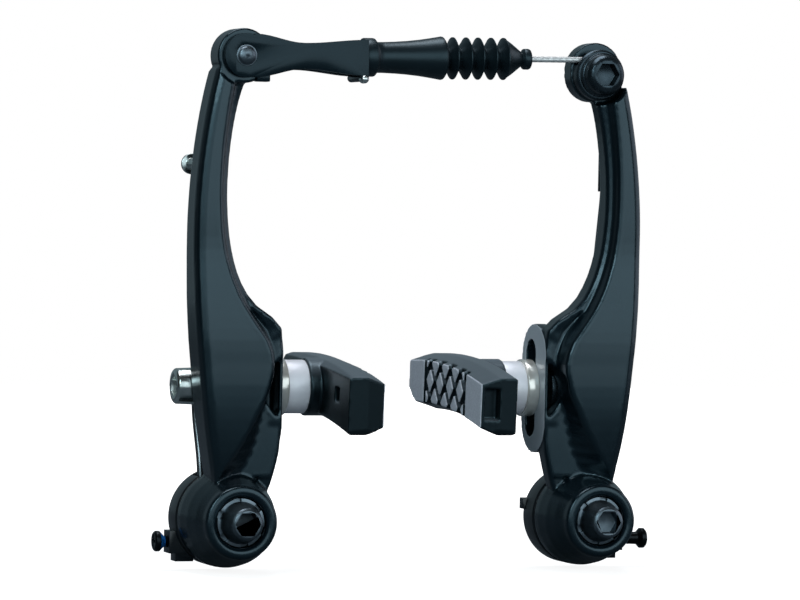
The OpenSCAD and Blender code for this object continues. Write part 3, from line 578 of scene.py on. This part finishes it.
slot_x, slot_y, slot_z, slot_size = 20.8, -21.5, 29.4, (3.4, 2.7, 3.5)
pocket_at, pocket_size, pad_tilt = (14.5, -29.0, 27.5), (3.4, 5.0, 7.4), 4
pad_cell = 0.28 * MM
mould_from, turns_mould = 12.7 * MM, 10
for side, out in (("left", -1), ("right", 1)):
    block = place(copy_of(side + "_pad"), side + "_brake_block", pad_rubber,
                  (side + "_pad",))
    # the slot moulded in each block's back, and the pocket in the right block's front end
    bm = bmesh.new()
    box_at(bm, (out * slot_x, slot_y, slot_z), slot_size, pad_tilt)
    if side == "right":
        box_at(bm, pocket_at, pocket_size, pad_tilt)
    cutting = bpy.data.meshes.new("slot_cutter")
    bm.to_mesh(cutting)
    bm.free()
    cutter = bpy.data.objects.new("slot_cutter", cutting)
    bpy.context.scene.collection.objects.link(cutter)
    cut = block.modifiers.new("slot", "BOOLEAN")
    cut.operation, cut.solver, cut.object = "DIFFERENCE", "EXACT", cutter
    bm = in_cells(block, pad_cell)
    bpy.data.objects.remove(cutter)
    # the grooved face stays crisp, and everything behind it gets the mould's round edges
    wear(bm, bm.verts, 2)
    wear(bm, [v for v in bm.verts if abs(v.co.x) > mould_from], turns_mould)
    bm.to_mesh(block.data)
    bm.free()
    block.data.shade_smooth()

# Pad hardware: an M6 post, a pale anodised spacer that looks nearly white, dished washers that
# let the block tip, nickelled inside and blackened outside, and a zinc-plated barrel nut with
# a hex socket on the outer side.
dish_steel = metal("nickel_plated_dish", "#efece4", "#d6d3cc", 0.22, 0.3, metallic=0.6)
spacer_silver = metal("pale_anodised_aluminium", "#f6f4f8", "#e8e6ec", 0.45, 0.3, metallic=0.2)
for side in ("left", "right"):
    place(eased(side + "_pad_post", 0.1), side + "_post", zinc_steel,
          (side + "_pad_post",))
    place(eased(side + "_pad_spacer", 0.25), side + "_spacer", spacer_silver,
          (side + "_pad_spacer",))
    place(eased(side + "_inner_washer", 0.2), side + "_inner_dish", dish_steel,
          (side + "_inner_washer",))
    for node in ("outer_washer", "outer_cup"):
        place(eased(f"{side}_{node}", 0.2), f"{side}_{node}_ring", black_steel,
              (f"{side}_{node}",))
    # the barrel narrows towards its outer end, which is drawn in a little
    taper, drawn_in = 0.016, 0.09
    bm = eased(side + "_pad_nut", 0.3)
    low, high = (Vector(corner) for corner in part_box(side + "_pad_nut"))
    middle = (low + high) / 2
    for vert in bm.verts:
        outward = max(0.0, (abs(vert.co.x) - abs(middle.x)) / MM)
        thin = 1 - taper * outward
        vert.co = Vector((vert.co.x - math.copysign(drawn_in * outward * MM, vert.co.x),
                          middle.y + (vert.co.y - middle.y) * thin,
                          middle.z + (vert.co.z - middle.z) * thin))
    place(bm, side + "_barrel_nut", zinc_steel, (side + "_pad_nut",))

# Link, pipe and boot: a folded and enamelled steel link riveted to the left eye, the steel nose
# of the guide pipe seated in its end plate, and a ribbed rubber boot over the nose. The link's
# enamel is thinner than the arms' and shines less.
link_enamel = enamel.copy()
link_enamel.name = "satin_black_link_enamel"
shader = [node for node in link_enamel.node_tree.nodes if node.type == "BSDF_PRINCIPLED"][0]
shader.inputs["Specular IOR Level"].default_value = 0.26
shader.inputs["Coat Weight"].default_value = 0.12
place(eased("link", 0.35), "folded_link", link_enamel, ("link",))
place(eased("link_rivet", 0.12), "rivet", worn_steel, ("link_rivet",))
place(eased("pipe_nose", 0.15), "pipe_end", zinc_steel, ("pipe_nose",))
# the tab that is folded down under the rivet
tab_at, tab_size = (-39.6, -18.4, 102.4), (3.2, 3.0, 2.6)
bm = bmesh.new()
box_at(bm, tab_at, tab_size)
bmesh.ops.bevel(bm, geom=bm.edges[:], offset=0.3 * MM, offset_type="OFFSET", segments=2,
                profile=0.5, affect="EDGES", material=-1)
place(bm, "link_tab", link_enamel, body=body_of["link"])

# Boot rubber: soft and moulded, with a fine matt grain that spreads its cool highlights.
boot_rubber, tree = blank("soft_boot_rubber")
spot = add(tree, "ShaderNodeTexCoord").outputs["Object"]
grain = add(tree, "ShaderNodeTexNoise", {"Vector": spot, "Scale": 1 / (0.5 * MM), "Detail": 3.0})
cloud = add(tree, "ShaderNodeTexNoise", {"Vector": spot, "Scale": 1 / (5 * MM), "Detail": 3.0})
tone = add(tree, "ShaderNodeValToRGB", {"Fac": cloud.outputs["Fac"]})
tone.color_ramp.elements[0].color = rgb("#080f13")
tone.color_ramp.elements[1].color = rgb("#0c161b")
skin = add(tree, "ShaderNodeBump", {"Height": grain.outputs["Fac"], "Strength": 0.12,
                                    "Distance": 0.04 * MM})
surface = add(tree, "ShaderNodeBsdfPrincipled",
              {"Base Color": tone.outputs["Color"], "Roughness": 0.37,
               "Normal": skin.outputs["Normal"], "IOR": 1.5, "Specular Tint": rgb("#c8ecfa")})
add(tree, "ShaderNodeOutputMaterial", {"Surface": surface.outputs[0]})


def turned(bm, profile, matrix, steps=72):
    """Spins a profile of (along, radius) in mm about the matrix's X axis into a closed form."""
    rim = [bm.verts.new((x * MM, 0, r * MM)) for x, r in profile]
    edges = [bm.edges.new(pair) for pair in zip(rim, rim[1:] + rim[:1])]
    bmesh.ops.spin(bm, geom=rim + edges, cent=(0, 0, 0), axis=(1, 0, 0), dvec=(0, 0, 0),
                   angle=2 * math.pi, steps=steps, use_merge=True)
    bmesh.ops.transform(bm, matrix=matrix, verts=bm.verts)


# pull_line runs from the left eye to the anchor, along the pipe, the boot and the cable
left_eye, pull_slope, boot_start = Vector((-44, -15.5, 107)), math.radians(0.977), 29.4
pull_line = Matrix.Translation(left_eye * MM) @ Matrix.Rotation(-pull_slope, 4, "Y")
# (along, radius) on the boot: neck collar, swelling sleeve, five ribs with rounded crests and
# roots, and the lip that holds the cable
rib_radius, root_radius, root_side = 5.0, 2.68, 2.85
crests, roots = (22.2, 25.5, 28.5, 31.7, 34.8), (20.8, 23.7, 27.0, 30.0, 33.3)
outside = [(0, 4.2), (0.15, 4.42), (0.4, 4.5), (2.5, 4.5), (2.8, 4.4), (3.05, 4.05), (3.6, 3.58),
           (5, 3.6), (8, 3.72), (11, 3.93), (14, 4.25), (16.5, 4.62), (18.4, 4.93), (19.2, 5.08),
           (19.5, 5.02), (19.75, 4.7)]
for root, crest in zip(roots, crests):
    outside += [(root - 0.22, root_side), (root, root_radius), (root + 0.22, root_side),
                (crest - 0.26, rib_radius - 0.3), (crest - 0.1, rib_radius - 0.05),
                (crest + 0.1, rib_radius - 0.05), (crest + 0.26, rib_radius - 0.3)]
outside += [(36.5, 3.75), (38.2, 2.45), (39.0, 1.85), (39.3, 1.7), (39.5, 1.9), (39.75, 2.35),
            (40.0, 2.45), (41.0, 2.45), (41.3, 2.3), (41.4, 2.1)]
inside = [(41.4, 1.05), (38.3, 1.05), (34.8, 3.4), (33.3, 1.8), (31.7, 3.6), (30, 1.8),
          (28.5, 3.6), (27, 1.8), (25.5, 3.6), (23.7, 1.8), (22.2, 3.6), (20.8, 1.9),
          (18.6, 4.1), (13, 3.2), (8, 2.7), (3.2, 2.55), (0, 2.55)]
bm = bmesh.new()
turned(bm, [(x + boot_start, r) for x, r in outside + inside], pull_line)
place(bm, "bellows_boot", boot_rubber, ("boot",), crease=50)

# the retaining pin's bright domed end, at the front end of the link's lower bead
pin_end = Vector((-15.55, -20.6, 102.3))
dome = [(-1.2, 0.2), (-1.2, 1.0), (0.15, 1.0), (0.5, 0.92), (0.8, 0.7), (0.98, 0.35), (1.02, 0.05)]
bm = bmesh.new()
turned(bm, dome, Matrix.Translation(pin_end * MM) @ Matrix.Rotation(-math.pi / 2, 4, "Z"),
       steps=24)
place(bm, "link_pin_end", zinc_steel, body=body_of["link"])

# Cable and clamp: a stainless inner cable of seven twisted strands, held under a channelled
# washer by the anchor bolt. The drawn strands spread the light, so it looks pale rather than
# mirror-like.
cable_from, cable_step, cable_rings, cable_radius = 24.4, 0.4, 170, 0.7
bm = bmesh.new()
tube(bm, [pull_line @ (Vector((cable_from + cable_step * i, 0, 0)) * MM) / MM
          for i in range(cable_rings)], cable_radius, sides=42, strands=7, lay=11.0)
cable_steel = metal("drawn_stainless_strands", "#e8e8e6", "#cfd0d0", 0.4, 0.25, metallic=0.6)
place(bm, "inner_cable", cable_steel, ("cable",), crease=60)
place(eased("anchor_washer", 0.25), "clamp_washer", black_steel,
      ("anchor_washer",))
place(eased("anchor_bolt", 0.3), "clamp_bolt", black_steel, ("anchor_bolt",))
